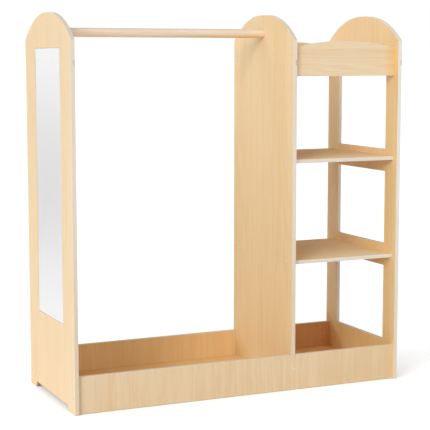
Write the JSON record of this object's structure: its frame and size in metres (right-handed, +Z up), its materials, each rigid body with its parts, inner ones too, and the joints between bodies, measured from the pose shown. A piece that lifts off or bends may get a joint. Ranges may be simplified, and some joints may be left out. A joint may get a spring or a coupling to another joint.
{
  "type": "dress up storage unit with mirror",
  "caption": "Child's dressing-up storage unit: hanging bay with a rod, open shelves beside it, arched panels, low bins and a mirror let into one side panel.",
  "frame": {"origin": "on the floor, under the middle of the unit's width and depth", "axes": "+Z up, +X from the mirror side to the shelf side, +Y from the open front to the back"},
  "size_m": [1.09, 0.445, 1.165],
  "materials": {
    "board": "pale maple laminate with a fine straight grain, satin",
    "edging": "pale grey-beige edging strip",
    "rod": "turned beech rod, lacquered",
    "dowel": "plain beech dowel",
    "steel": "zinc-plated steel",
    "mirror": "clear mirror sheet",
    "tape": "white double-sided foam tape"
  },
  "bodies": {
    "root": {"left_panel": "board", "left_panel_edging": "edging", "mirror_sheet": "mirror", "mirror_tape": "tape", "divider_panel": "board", "divider_edging": "edging", "right_panel": "board", "right_panel_edging": "edging", "window_edging": "edging", "hanging_rod": "rod", "rod_screws": "steel", "front_rail": "board", "front_rail_edging": "edging", "back_rail": "board", "back_rail_edging": "edging", "divider_rail_screws": "steel", "hanging_bay_floor": "board", "shelf_bay_floor": "board", "floor_dowels": "dowel", "lower_shelf": "board", "lower_shelf_edging": "edging", "upper_shelf": "board", "upper_shelf_edging": "edging", "top_front_board": "board", "top_front_edging": "edging", "top_back_board": "board", "top_back_edging": "edging", "front_rail_bolts": "steel", "front_rail_barrel_nuts": "steel", "back_rail_bolts": "steel", "back_rail_barrel_nuts": "steel", "lower_shelf_bolts": "steel", "lower_shelf_barrel_nuts": "steel", "upper_shelf_bolts": "steel", "upper_shelf_barrel_nuts": "steel", "top_front_bolts": "steel", "top_front_barrel_nuts": "steel", "top_back_bolts": "steel", "top_back_barrel_nuts": "steel"}
  },
  "joints": []
}
